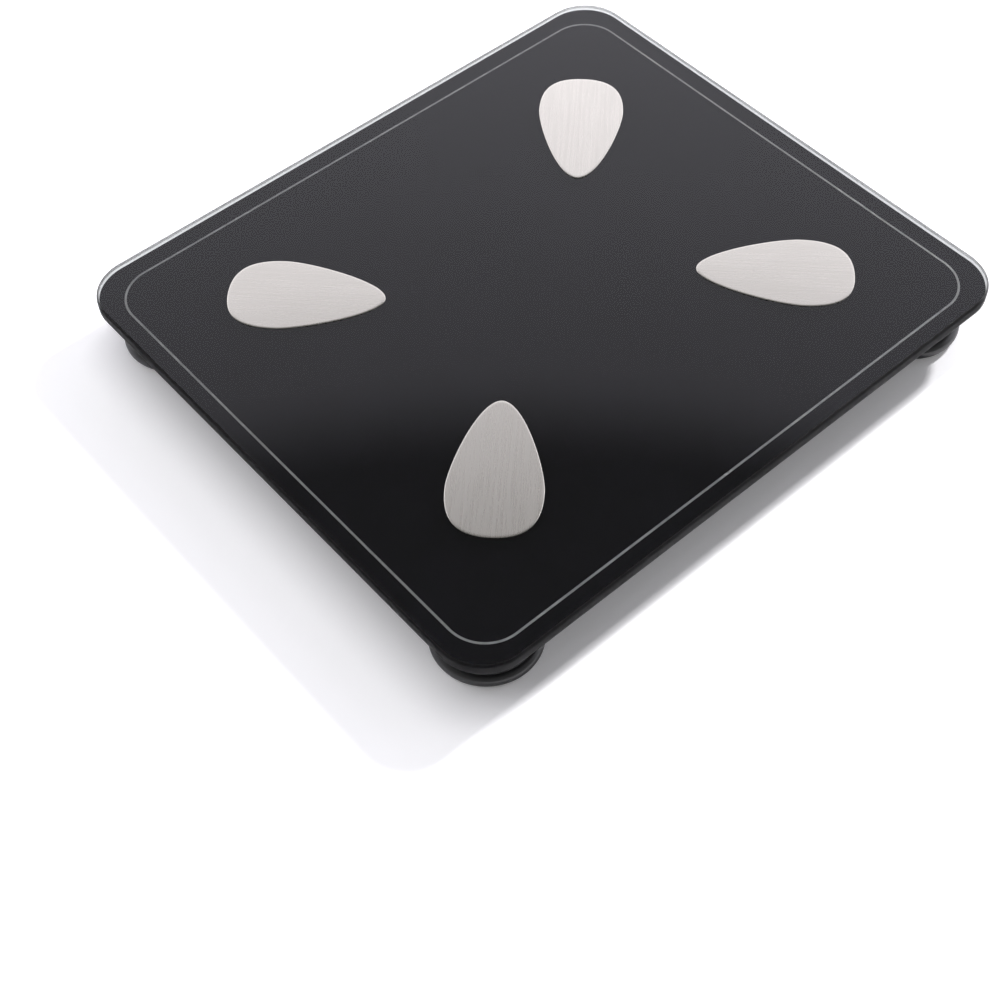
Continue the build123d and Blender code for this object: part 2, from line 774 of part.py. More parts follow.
# ---------------------------------------------------------------- batteries and their door
pocket_end = pocket_length / 2
for row, row_y in enumerate(battery_rows):
    nub_side = 1 if row % 2 == 0 else -1
    base_x = nub_side * (spring_room - pocket_end)
    with BuildPart() as battery:
        with BuildSketch(Plane.YZ.offset(base_x)):
            with Locations((row_y, cell_axis)):
                Circle(cell_diameter / 2)
        extrude(amount=nub_side * (cell_length - nub_height))
        fillet(battery.edges().filter_by(GeomType.CIRCLE), radius=battery_round)
        with BuildSketch(Plane.YZ.offset(base_x)):
            with Locations((row_y, cell_axis)):
                Circle(nub_radius)
        extrude(amount=nub_side * cell_length)
    save(battery, f"battery_{row + 1}")

contact_top = cell_axis + contact_height / 2
contact_low = cell_axis - contact_height / 2
with BuildPart() as contact_springs:
    for row, row_y in enumerate(battery_rows):
        nub_side = 1 if row % 2 == 0 else -1
        wall_x = -nub_side * (pocket_end - contact_thickness)
        crown_x = -nub_side * (pocket_end - spring_room + contact_thickness)
        with BuildSketch(Plane.XZ.offset(-row_y)):
            with BuildLine():
                FilletPolyline(
                    (wall_x, contact_top),
                    (wall_x, contact_low),
                    (crown_x, cell_axis),
                    (wall_x + nub_side * spring_lean, contact_top),
                    radius=contact_bend,
                )
            trace(line_width=contact_thickness)
        extrude(amount=contact_width / 2, both=True)
save(contact_springs, "contact_springs")

with BuildPart() as contact_plates:
    for row, row_y in enumerate(battery_rows):
        nub_side = 1 if row % 2 == 0 else -1
        with BuildSketch(Plane.YZ.offset(nub_side * pocket_end)):
            with Locations((row_y, cell_axis)):
                Rectangle(contact_width, contact_height)
        extrude(amount=-nub_side * contact_thickness)
        with BuildSketch(Plane.YZ.offset(nub_side * (pocket_end - contact_thickness))):
            with Locations((row_y, cell_axis)):
                Circle(nub_radius)
        extrude(amount=nub_side * (contact_thickness - plate_room), taper=nub_side * draft_angle)
save(contact_plates, "contact_plates")

with BuildPart() as battery_door:
    # Flush plate with a round hinge bead and a snap pin at each end of it
    with BuildSketch(Plane.XY.offset(door_bottom)):
        with Locations((0, battery_y + hinge_radius / 2)):
            Rectangle(door_length, door_width - hinge_radius)
    extrude(amount=door_thickness)
    with BuildSketch(Plane.YZ.offset(-door_length / 2)):
        with Locations((hinge_y, hinge_z)):
            Circle(hinge_radius)
    extrude(amount=door_length)
    with BuildSketch(Plane.YZ.offset(-door_length / 2 - pin_length)):
        with Locations((hinge_y, hinge_z)):
            Circle(pin_radius)
    extrude(amount=door_length + 2 * pin_length)
    # Bent latch finger with its nub and thumb tab
    inner_leg = latch_y + latch_sheet / 2
    outer_leg = inner_leg + latch_reach + latch_sheet
    with BuildSketch(Plane.YZ.offset(-latch_width / 2)):
        with BuildLine():
            FilletPolyline(
                (inner_leg, door_top - latch_sheet / 2),
                (inner_leg, latch_top - latch_sheet / 2),
                (outer_leg, latch_top - latch_sheet / 2),
                (outer_leg, door_bottom),
                radius=latch_bend,
            )
        trace(line_width=latch_sheet)
    extrude(amount=latch_width)
    with BuildSketch(Plane.YZ.offset(-latch_width / 2)):
        with BuildLine():
            Polyline(
                (outer_leg, floor_top + door_gap + latch_nub_height),
                (outer_leg, floor_top + door_gap),
                (outer_leg + latch_nub_reach, floor_top + door_gap),
                close=True,
            )
        make_face()
    extrude(amount=latch_width)
    # Thumb grip grooves beside the latch
    with BuildSketch(Plane.XY.offset(door_bottom)):
        with Locations((0, battery_y + door_width / 2 - grip_groove_pitch * (grip_groove_count + 1))):
            with GridLocations(0, grip_groove_pitch, 1, grip_groove_count):
                SlotOverall(grip_groove_length, grip_groove_width)
    extrude(amount=grip_groove_depth, mode=Mode.SUBTRACT)
save(battery_door, "battery_door")


# ---------------------------------------------------------------- leads
# Each route starts face to face at its cell or terminal and ends at the board, lying on the ribs
cell_lead_low = cell_bottom + cell_thickness / 2
cell_lead_start = cell_size / 2
pod_exit = pod_inner + wall
rear_header_y = board_y + header_offset_y
front_header_y = board_y - header_offset_y
header_face = header_x + header_size / 2

cell_routes = []
for sx in (-1, 1):
    cell_routes.append(
        [
            (sx * (corner_x - cell_lead_start), corner_y, cell_lead_low),
            (sx * (corner_x - pod_exit), corner_y, cell_lead_low),
            (sx * (corner_x - pod_exit - 3 * lead_bend), corner_y, cell_lead_z),
            (sx * (header_face + 3 * lead_bend), rear_header_y, cell_lead_z),
            (sx * header_face, rear_header_y, cell_lead_z),
        ]
    )
    cell_routes.append(
        [
            (sx * corner_x, cell_lead_start - corner_y, cell_lead_low),
            (sx * corner_x, pod_exit - corner_y, cell_lead_low),
            (sx * corner_x, pod_exit + 3 * lead_bend - corner_y, cell_lead_z),
            (sx * corner_x, lead_bend, cell_lead_z),
            (sx * (electrode_x + 3 * lead_bend), electrode_y, cell_lead_z),
            (sx * (header_face + 4 * lead_bend), front_header_y, cell_lead_z),
            (sx * header_face, front_header_y, cell_lead_z),
        ]
    )

tab_z = nut_top - electrode_lead_radius / 2
tab_x = electrode_x - terminal_tab
board_edge_y = board_y - board_width / 2
rear_pad_x = button_x - 2 * lead_bend
front_pad_x = button_x - 5 * lead_bend
electrode_routes = []
for sx in (-1, 1):
    electrode_routes.append(
        [
            (sx * tab_x, electrode_y, tab_z),
            (sx * (tab_x - 2 * lead_bend), electrode_y, tab_z),
            (sx * (tab_x - 5 * lead_bend), electrode_y - lead_bend, electrode_lead_z),
            (sx * rear_pad_x, electrode_y - lead_bend, electrode_lead_z),
            (sx * rear_pad_x, board_edge_y, electrode_lead_z),
        ]
    )
    electrode_routes.append(
        [
            (sx * tab_x, -electrode_y, tab_z),
            (sx * (tab_x - 2 * lead_bend), -electrode_y, tab_z),
            (sx * (tab_x - 5 * lead_bend), 3 * lead_bend - electrode_y, electrode_lead_z),
            (sx * (tab_x - 5 * lead_bend), board_edge_y - 6 * lead_bend, electrode_lead_z),
            (sx * front_pad_x, board_edge_y - 4 * lead_bend, electrode_lead_z),
            (sx * front_pad_x, board_edge_y, electrode_lead_z),
        ]
    )

box_end = pocket_length / 2 + box_wall
battery_lead_z = rib_top + battery_lead_radius
battery_pad_x = front_pad_x - 2 * lead_bend
battery_routes = []
for sx, row_y in ((-1, battery_rows[0]), (1, battery_rows[-1])):
    battery_routes.append(
        [
            (sx * box_end, row_y, battery_lead_z),
            (sx * (box_end + 2 * lead_bend), row_y, battery_lead_z),
            (sx * (box_end + 2 * lead_bend), notch_end_y + 2 * lead_bend, battery_lead_z),
            (sx * battery_pad_x, board_edge_y - 4 * lead_bend, battery_lead_z),
            (sx * battery_pad_x, board_edge_y, battery_lead_z),
        ]
    )

for label, routes, radius in (
    ("load_cell_leads", cell_routes, cell_lead_radius),
    ("electrode_leads", electrode_routes, electrode_lead_radius),
    ("battery_leads", battery_routes, battery_lead_radius),
):
    with BuildPart() as leads:
        for route in routes:
            with BuildLine() as run:
                FilletPolyline(*route, radius=lead_bend)
            with BuildSketch(run.line ^ 0):
                Circle(radius)
            sweep(path=run.line)
    save(leads, label)
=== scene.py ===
"""Finishes for a glass bathroom scale with four steel electrodes, laid out as a Blender add-on.

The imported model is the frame: every piece takes its place from it, in metres. Each operator builds or
finishes one group of pieces, and main() runs them in order.
"""

from math import radians, sqrt

import bpy
import numpy as np
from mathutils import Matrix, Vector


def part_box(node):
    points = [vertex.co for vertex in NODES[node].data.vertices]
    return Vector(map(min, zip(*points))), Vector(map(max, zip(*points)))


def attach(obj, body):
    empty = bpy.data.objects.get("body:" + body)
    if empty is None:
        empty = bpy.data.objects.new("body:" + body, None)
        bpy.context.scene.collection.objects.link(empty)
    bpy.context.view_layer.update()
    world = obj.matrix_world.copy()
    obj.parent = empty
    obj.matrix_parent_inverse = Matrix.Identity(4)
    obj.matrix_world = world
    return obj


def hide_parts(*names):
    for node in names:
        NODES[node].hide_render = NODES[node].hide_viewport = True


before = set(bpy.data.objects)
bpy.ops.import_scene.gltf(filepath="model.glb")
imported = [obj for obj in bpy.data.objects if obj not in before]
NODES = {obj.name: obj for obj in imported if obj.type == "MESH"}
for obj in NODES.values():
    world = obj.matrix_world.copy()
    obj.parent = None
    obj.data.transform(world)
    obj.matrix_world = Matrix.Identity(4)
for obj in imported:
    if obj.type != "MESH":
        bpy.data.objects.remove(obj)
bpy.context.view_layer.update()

bl_info = {
    "name": "Bathroom Scale",
    "version": (1, 0, 0),
    "blender": (4, 5, 0),
    "location": "View3D > Sidebar > Scale",
    "description": "Builds the finishes of a glass body-fat scale round its packed model",
    "category": "Object",
}

MM = 0.001
WHITE = (1.0, 1.0, 1.0, 1.0)
CORNERS = ("front_left", "front_right", "rear_left", "rear_right")
GLASS_LOW, GLASS_HIGH = np.array(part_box("glass_platform"))
FILM_LOW, FILM_HIGH = np.array(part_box("black_film"))
BORDER_LOW, BORDER_HIGH = np.array(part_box("border_line"))

# How far the middle of an arris rounding lies from the sharp corner that it takes off, as a share of the
# rounding's reach along the face.
ROUNDING_CUT = 0.15

# The teardrop: where it is widest, as a share of its length, and how long the handles of its curves are.
# The blunt end's handles are shares of the half width and of the way to the widest point. The flank's
# first handle is a share of the way from there to the tip.
WIDEST_SHARE = 0.331
BLUNT_RISE_SHARE = 0.68
BLUNT_RUN_SHARE = 0.70
FLANK_RUN_SHARE = 0.24

# The electrode: its stud and the top of its crown lie at this share of its length, its rim is rolled
# through these angles, and the crown is drawn at these shares of the way from its top to the rim.
STUD_SHARE = 0.443
RIM_TURNS = np.radians([15.0, 30.0, 45.0, 60.0, 75.0, 90.0])
CROWN_SHARES = (0.97, 0.9, 0.8, 0.65, 0.5, 0.35, 0.2, 0.08)
STUD_CHAMFER = 0.3 * MM

# The room: half the side of the floor, the level direction of the pale wall, and its cool tint. The wall
# comes in between the two sides, which are cosines of the angle to its direction. Heights are sines of
# the angle over the horizon: the wall dims between the first two and turns into ceiling between the others.
FLOOR_REACH = 6.0
WALL_DIRECTION = (0.675, 0.737, 0.0)
WALL_TINT = (0.98, 0.97, 1.05)
WALL_SIDES = (-0.25, 0.45)
WALL_HEIGHTS = (0.5, 0.76)
CEILING_HEIGHTS = (0.755, 0.795)

# The camera: sensor width in millimetres, and far limit in metres.
SENSOR_WIDTH = 36.0
CLIP_END = 100.0


# ---------------------------------------------------------------- what a user may change
def size(name, description, default):
    """A length property in metres."""
    return bpy.props.FloatProperty(
        name=name, description=description, default=default, unit="LENGTH", precision=5
    )


def point(name, description, default):
    """A point property in metres."""
    return bpy.props.FloatVectorProperty(
        name=name, description=description, default=default, size=3, subtype="TRANSLATION", precision=5
    )


def rotation(name, description, degrees):
    """A rotation property about X, Y and Z, with its default in degrees."""
    return bpy.props.FloatVectorProperty(
        name=name,
        description=description,
        default=[radians(angle) for angle in degrees],
        size=3,
        subtype="EULER",
        precision=5,
    )


def colour(name, description, default):
    """A linear RGB colour property."""
    return bpy.props.FloatVectorProperty(
        name=name, description=description, default=default, size=3, subtype="COLOR", min=0.0, max=1.0
    )


def number(name, description, default):
    """A plain number property."""
    return bpy.props.FloatProperty(name=name, description=description, default=default)


class ScaleSizes(bpy.types.PropertyGroup):
    """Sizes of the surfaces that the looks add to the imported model."""

    corner_radius: size("Corner radius", "Plan radius of the glass corners", 21.5 * MM)
    arris: size("Arris", "Width of the ground arris on the glass edges", 0.8 * MM)
    arris_round: size("Arris rounding", "Reach of the rounding on both sides of the arris", 0.25 * MM)
    print_cover: size("Print cover", "How far the black print reaches into the glass it touches", 0.1 * MM)
    line_radius: size("Line corner radius", "Outer radius of the border line's corners", 18.5 * MM)
    line_width: size("Line width", "Width of the border line", 1.0 * MM)
    line_cover: size("Line cover", "How far the silver line stands over the black print", 0.02 * MM)
    electrode_length: size("Electrode length", "Length of a teardrop electrode", 68.5 * MM)
    electrode_width: size("Electrode width", "Greatest width of a teardrop electrode", 39.6 * MM)
    electrode_tip: size("Tip radius", "Radius of the electrode's narrow end", 3.9 * MM)
    electrode_rim: size("Rim radius", "Radius of the electrode's rolled rim", 0.3 * MM)
    electrode_crown: size("Crown", "How far the electrode's middle stands over its rim", 0.06 * MM)
    stud_radius: size("Stud radius", "Radius of the threaded stud under each electrode", 2.0 * MM)


class ScaleColours(bpy.types.PropertyGroup):
    """Colours of the finishes, as linear RGB."""

    glass: colour("Glass", "Tint of the clear glass", (0.96, 0.985, 0.975))
    black_print: colour("Black print", "Enamel under the glass", (0.0045, 0.0042, 0.0062))
    silver_print: colour("Silver print", "Border line", (0.22, 0.22, 0.22))
    steel: colour("Steel", "Electrode steel", (0.835, 0.802, 0.735))
    plastic: colour("Housing plastic", "Moulded base", (0.018, 0.018, 0.019))
    foot: colour("Foot plastic", "Moulded feet", (0.030, 0.030, 0.031))
    rubber: colour("Rubber", "Foot pads", (0.030, 0.030, 0.031))
    board: colour("Solder mask", "Main board", (0.012, 0.115, 0.045))
    floor: colour("Floor", "Floor, as it lights the object", (0.80, 0.80, 0.81))
    floor_seen: colour("Floor seen", "Floor, as it is seen directly and in mirrors", (0.985, 0.978, 1.0))


class ScaleStudio(bpy.types.PropertyGroup):
    """Light and camera."""

    key: number("Key", "Power of the long soft lamp overhead, in watts", 55.0)
    key_place: point("Key place", "Middle of the lamp overhead", (-0.675, 0.28, 3.0))
    key_length: size("Key length", "Length of the lamp overhead, along the long side", 4.35)
    key_width: size("Key width", "Width of the lamp overhead", 0.28)
    side: number("Side", "Power of the small side lamp, in watts", 85.0)
    side_place: point("Side place", "Middle of the side lamp, which faces the object", (2.38, 0.0, 1.8))
    side_width: size("Side width", "Width of the square side lamp", 0.26)
    backdrop_low: number("Backdrop foot", "Radiance of the pale wall behind the object, low down", 1.6)
    backdrop_high: number("Backdrop head", "Radiance of that wall where it meets the ceiling", 0.74)
    front: number("Front", "Radiance of the room behind the camera", 0.20)
    ceiling: number("Ceiling", "Radiance of the dark ceiling", 0.16)
    floor_lift: number("Floor lift", "What the floor adds to its own light where the camera sees it", 0.12)
    fade_start: size("Fade start", "Distance from the object where the floor starts to turn white", 0.6)
    fade_end: size("Fade end", "Distance from the object where the floor is plain white", 1.6)
    lens: number("Lens", "Focal length in millimetres on a 36 mm sensor", 59.691)
    camera_place: point("Camera place", "Where the camera stands", (-0.337146, -0.368358, 0.554436))
    camera_turn: rotation("Camera turn", "How the camera is turned", (36.1675, 0.7325, -41.1618))


# ---------------------------------------------------------------- surfaces
def mesh_from_rings(name, rings, closed=True):
    """An object whose skin joins a stack of rings, given as an array (ring, point, xyz).

    Neighbouring rings are joined by quads, and the last point of a ring joins its first. When closed,
    each end is covered by a fan of triangles to the mean of its ring."""
    stack, around = rings.shape[:2]
    vertices = rings.reshape(-1, 3)
    index = np.arange(stack * around).reshape(stack, around)
    turned = np.roll(index, -1, axis=1)
    quads = np.stack([index[:-1], turned[:-1], turned[1:], index[1:]], axis=-1)
    faces = quads.reshape(-1, 4).tolist()
    if closed:
        low_middle = np.full(around, len(vertices))
        high_middle = low_middle + 1
        faces += np.stack([turned[0], index[0], low_middle], axis=-1).tolist()
        faces += np.stack([index[-1], turned[-1], high_middle], axis=-1).tolist()
        vertices = np.vstack([vertices, rings[0].mean(axis=0), rings[-1].mean(axis=0)])
    mesh = bpy.data.meshes.new(name)
    mesh.from_pydata(vertices.tolist(), [], faces)
    mesh.update()
    return link(name, mesh)


def link(name, mesh):
    """A linked object for that mesh, with smooth faces."""
    mesh.polygons.foreach_set("use_smooth", np.ones(len(mesh.polygons), dtype=bool))
    piece = bpy.data.objects.new(name, mesh)
    bpy.context.scene.collection.objects.link(piece)
    return piece


def keep_edges(piece, degrees):
    """Marks edges that turn by more than that angle as sharp, so that flat faces look flat."""
    piece.data.set_sharp_from_angle(angle=radians(degrees))


def rounded_rectangle(length, width, radius, per_corner=40):
    """Points round a rectangle with corner arcs, counter-clockwise from the end of +X, as (point, xy).

    Each corner is a quarter circle about (length / 2 - radius, width / 2 - radius) in its quadrant."""
    quarter = np.linspace(0.0, np.pi / 2, per_corner)
    turns = np.concatenate([quarter + k * np.pi / 2 for k in range(4)])
    signs = np.repeat(np.array([(1, 1), (-1, 1), (-1, -1), (1, -1)]), per_corner, axis=0)
    centres = signs * np.array([length / 2 - radius, width / 2 - radius])
    return centres + radius * np.stack([np.cos(turns), np.sin(turns)], axis=-1)


def plate_rings(length, width, radius, profile):
    """Rings of a rounded plate: the outline moved inwards by each profile point's inset, at its height."""
    rings = []
    for inset, height in profile:
        outline = rounded_rectangle(length - 2 * inset, width - 2 * inset, radius - inset)
        rings.append(np.column_stack([outline, np.full(len(outline), height)]))
    return np.array(rings)


def bezier(handles, steps):
    """Points on the cubic Bezier curve with those four handles, without its last point."""
    t = np.linspace(0.0, 1.0, steps, endpoint=False)[:, None]
    a, b, c, d = np.array(handles)
    return (1 - t) ** 3 * a + 3 * (1 - t) ** 2 * t * b + 3 * (1 - t) * t**2 * c + t**3 * d


def teardrop(length, width, tip_radius, steps=64):
    """A teardrop outline along +X from its blunt end, counter-clockwise, as (point, xy).

    Each half is two cubic curves that meet where the drop is widest. The tip's handle is the square root
    of two thirds of its radius times the run from the flank's first handle to the tip."""
    half = width / 2
    widest = WIDEST_SHARE * length
    run = (length - widest) * (1 - FLANK_RUN_SHARE)
    tip = sqrt(2 * tip_radius * run / 3)
    blunt = [(0, 0), (0, -BLUNT_RISE_SHARE * half), (widest * (1 - BLUNT_RUN_SHARE), -half), (widest, -half)]
    flank = [(widest, -half), (length - run, -half), (length, -tip), (length, 0)]
    lower = np.vstack([bezier(blunt, steps), bezier(flank, steps)])
    upper = np.vstack([bezier(flank[::-1], steps), bezier(blunt[::-1], steps)]) * (1, -1)
    return np.vstack([lower, upper])


def inset_outline(outline, distance):
    """The outline moved inwards along its own normals, found from the points on both sides."""
    along = np.roll(outline, -1, axis=0) - np.roll(outline, 1, axis=0)
    along /= np.linalg.norm(along, axis=1)[:, None]
    return outline + distance * np.stack([-along[:, 1], along[:, 0]], axis=-1)


def revolve(profile, around=32):
    """Rings of a turned shape about Z, from a list of (radius, height)."""
    turns = np.linspace(0.0, 2 * np.pi, around, endpoint=False)
    circle = np.stack([np.cos(turns), np.sin(turns), np.zeros(around)], axis=-1)
    return np.array([circle * radius + (0, 0, height) for radius, height in profile])


# ---------------------------------------------------------------- shader nodes
def add(tree, kind, values=None, **settings):
    """A new node with its settings, and its inputs set to values or linked to other nodes' sockets."""
    node = tree.nodes.new(kind)
    for key, value in settings.items():
        setattr(node, key, value)
    for key, value in (values or {}).items():
        if isinstance(value, bpy.types.NodeSocket):
            tree.links.new(value, node.inputs[key])
        else:
            node.inputs[key].default_value = value
    return node


def combine(tree, operation, first, second):
    """The output of a Math node for that operation."""
    return add(tree, "ShaderNodeMath", {0: first, 1: second}, operation=operation).outputs[0]


def ramp(tree, value, limits, results=(0.0, 1.0), shape="LINEAR"):
    """The output of a Map Range node: the first result up to the first limit, the second result from the
    second limit on, and a ramp of that shape between them."""
    node = add(
        tree,
        "ShaderNodeMapRange",
        {
            "Value": value,
            "From Min": limits[0],
            "From Max": limits[1],
            "To Min": results[0],
            "To Max": results[1],
        },
        interpolation_type=shape,
    )
    return node.outputs[0]


def blend(tree, share, first, second):
    """The colour that goes from the first to the second as the share rises from 0 to 1."""
    return add(tree, "ShaderNodeMix", {0: share, 6: first, 7: second}, data_type="RGBA").outputs[2]


def rgba(value):
    """A four-part colour from an RGB property."""
    return (*value, 1.0)


def grey(value):
    """A four-part neutral colour."""
    return (value, value, value, 1.0)


def shade(value, factor):
    """A colour times a factor."""
    return tuple(min(1.0, part * factor) for part in value)


def shader_group(name, inputs, outputs):
    """An empty shader node group with those sockets, its input node and its output node."""
    tree = bpy.data.node_groups.new(name, "ShaderNodeTree")
    for label, kind, value in inputs:
        socket = tree.interface.new_socket(label, in_out="INPUT", socket_type=kind)
        if value is not None:
            socket.default_value = value
    for label, kind in outputs:
        tree.interface.new_socket(label, in_out="OUTPUT", socket_type=kind)
    return tree, tree.nodes.new("NodeGroupInput"), tree.nodes.new("NodeGroupOutput")


def build_mottle(name):
    """Slow variation: a noise that swings a colour and a roughness between two values each."""
    tree, given, out = shader_group(
        name,
        [
            ("Vector", "NodeSocketVector", None),
            ("Scale", "NodeSocketFloat", 60.0),
            ("Colour A", "NodeSocketColor", (0.5, 0.5, 0.5, 1.0)),
            ("Colour B", "NodeSocketColor", (0.5, 0.5, 0.5, 1.0)),
            ("Roughness A", "NodeSocketFloat", 0.4),
            ("Roughness B", "NodeSocketFloat", 0.5),
        ],
        [("Colour", "NodeSocketColor"), ("Roughness", "NodeSocketFloat")],
    )
    spread = {"Vector": given.outputs["Vector"], "Scale": given.outputs["Scale"]}
    noise = add(tree, "ShaderNodeTexNoise", {**spread, "Detail": 4.0, "Roughness": 0.55})
    share = ramp(tree, noise.outputs["Fac"], (0.3, 0.7))
    tinted = blend(tree, share, given.outputs["Colour A"], given.outputs["Colour B"])
    rough = add(
        tree,
        "ShaderNodeMix",
        {0: share, 2: given.outputs["Roughness A"], 3: given.outputs["Roughness B"]},
        data_type="FLOAT",
    )
    tree.links.new(tinted, out.inputs["Colour"])
    tree.links.new(rough.outputs[0], out.inputs["Roughness"])
    return tree


def build_moulded(name):
    """Spark-eroded mould texture: rounded cells with a finer noise over them, as a height."""
    tree, given, out = shader_group(
        name,
        [("Vector", "NodeSocketVector", None), ("Scale", "NodeSocketFloat", 1800.0)],
        [("Height", "NodeSocketFloat")],
    )
    spread = {"Vector": given.outputs["Vector"], "Scale": given.outputs["Scale"]}
    cells = add(tree, "ShaderNodeTexVoronoi", spread, feature="SMOOTH_F1")
    fine = add(tree, "ShaderNodeTexNoise", spread)
    height = combine(tree, "ADD", cells.outputs["Distance"], fine.outputs["Fac"])
    tree.links.new(height, out.inputs["Height"])
    return tree


def build_brushed(name):
    """Brushed grain: noise drawn out along X, so that its streaks follow the first coordinate."""
    tree, given, out = shader_group(
        name,
        [
            ("Vector", "NodeSocketVector", None),
            ("Along", "NodeSocketFloat", 60.0),
            ("Across", "NodeSocketFloat", 3000.0),
        ],
        [("Streak", "NodeSocketFloat"), ("Height", "NodeSocketFloat")],
    )
    stretch = add(
        tree,
        "ShaderNodeCombineXYZ",
        {"X": given.outputs["Along"], "Y": given.outputs["Across"], "Z": given.outputs["Across"]},
    )
    stretched = add(
        tree,
        "ShaderNodeVectorMath",
        {0: given.outputs["Vector"], 1: stretch.outputs[0]},
        operation="MULTIPLY",
    ).outputs[0]
    fine = add(tree, "ShaderNodeTexNoise", {"Vector": stretched, "Scale": 1.0, "Detail": 3.0})
    broad = add(tree, "ShaderNodeTexNoise", {"Vector": stretched, "Scale": 0.23, "Detail": 2.0})
    both = combine(tree, "ADD", fine.outputs["Fac"], broad.outputs["Fac"])
    tree.links.new(ramp(tree, both, (0.75, 1.25)), out.inputs["Streak"])
    tree.links.new(fine.outputs["Fac"], out.inputs["Height"])
    return tree


GROUP_BUILDERS = {
    "Slow Mottle": build_mottle,
    "Moulded Grain": build_moulded,
    "Brushed Grain": build_brushed,
}


def group(tree, name, values):
    """A node that places the group of that name, which is built the first time."""
    made = bpy.data.node_groups.get(name) or GROUP_BUILDERS[name](name)
    return add(tree, "ShaderNodeGroup", values, node_tree=made)


def new_material(name):
    """A node material, its node tree, its Principled shader and its output."""
    material = bpy.data.materials.new(name)
    material.use_nodes = True
    tree = material.node_tree
    tree.nodes.clear()
    shader = tree.nodes.new("ShaderNodeBsdfPrincipled")
    surface = tree.nodes.new("ShaderNodeOutputMaterial")
    tree.links.new(shader.outputs[0], surface.inputs["Surface"])
    return material, tree, shader, surface


def object_coordinates(tree):
    """The Object output of a Texture Coordinate node."""
    return tree.nodes.new("ShaderNodeTexCoord").outputs["Object"]


def bump(tree, shader, height, distance):
    """Feeds a height to the shader's Normal through a Bump node, with the depth of a height of 1."""
    node = add(tree, "ShaderNodeBump", {"Height": height, "Distance": distance})
    tree.links.new(node.outputs[0], shader.inputs["Normal"])


def mottled(name, light, dark, rough, scale=60.0, grain=0.0, grain_scale=1800.0, **fixed):
    """A material whose colour and roughness drift slowly, with an optional moulded grain.

    light and dark are the two colours, rough the two roughnesses, grain the bump distance in metres, and
    fixed the shader inputs that stay constant, with _ for the spaces in their names."""
    material, tree, shader, _ = new_material(name)
    spot = object_coordinates(tree)
    drift = group(
        tree,
        "Slow Mottle",
        {
            "Vector": spot,
            "Scale": scale,
            "Colour A": rgba(light),
            "Colour B": rgba(dark),
            "Roughness A": rough[0],
            "Roughness B": rough[1],
        },
    )
    tree.links.new(drift.outputs["Colour"], shader.inputs["Base Color"])
    tree.links.new(drift.outputs["Roughness"], shader.inputs["Roughness"])
    if grain:
        texture = group(tree, "Moulded Grain", {"Vector": spot, "Scale": grain_scale})
        bump(tree, shader, texture.outputs["Height"], grain)
    for socket, value in fixed.items():
        shader.inputs[socket.replace("_", " ")].default_value = value
    return material


def finish(names, material):
    """Gives each named CAD node that material in every slot."""
    for name in names:
        slots = NODES[name].data.materials
        if not slots:
            slots.append(material)
        for index in range(len(slots)):
            slots[index] = material


def settle(piece, material, body, replaced):
    """Gives a new piece its material and its body, and hides the CAD node that it stands for."""
    piece.data.materials.append(material)
    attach(piece, body)
    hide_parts(replaced)


# ---------------------------------------------------------------- operators
class SCALE_OT_glass(bpy.types.Operator):
    """Builds the clear platform with its ground edges and arrises"""

    bl_idname = "scale.glass"
    bl_label = "Glass Platform"

    def execute(self, context):
        sizes = context.scene.scale_sizes
        length, width = (GLASS_HIGH - GLASS_LOW)[:2]
        low, high = GLASS_LOW[2], GLASS_HIGH[2]
        arris = sizes.arris
        soft = sizes.arris_round
        cut = ROUNDING_CUT * soft
        profile = [
            (arris + soft, low),
            (arris, low + cut),
            (cut, low + arris),
            (0.0, low + arris + soft),
            (0.0, high - arris - soft),
            (cut, high - arris),
            (arris, high - cut),
            (arris + soft, high),
        ]
        rings = plate_rings(length, width, sizes.corner_radius, profile)
        glass = mesh_from_rings("clear_glass", rings)
        keep_edges(glass, 50)
        tint = context.scene.scale_colours.glass
        clear = self.glass_material("Clear Glass", tint, rough=(0.0, 0.004), index=1.52)
        dark = shade(tint, 0.38)
        ground = self.glass_material("Ground Glass Edge", dark, rough=(0.55, 0.70), index=1.25)
        settle(glass, clear, "platform", "glass_platform")
        glass.data.materials.append(ground)
        slots = np.zeros(len(glass.data.polygons), dtype=np.int32)
        edge_quads = (len(profile) - 1) * rings.shape[1]
        slots[:edge_quads] = 1
        glass.data.polygons.foreach_set("material_index", slots)
        glass.data.polygons.foreach_set("use_smooth", slots == 1)
        return {"FINISHED"}

    @staticmethod
    def glass_material(name, tint, rough, index):
        """Glass whose roughness drifts between two values. A ground face mirrors less, as if its index
        were lower."""
        material, tree, shader, _ = new_material(name)
        smear = group(
            tree,
            "Slow Mottle",
            {
                "Vector": object_coordinates(tree),
                "Scale": 25.0,
                "Roughness A": rough[0],
                "Roughness B": rough[1],
            },
        )
        tree.links.new(smear.outputs["Roughness"], shader.inputs["Roughness"])
        shader.inputs["Base Color"].default_value = rgba(tint)
        shader.inputs["Transmission Weight"].default_value = 1.0
        shader.inputs["IOR"].default_value = index
        return material


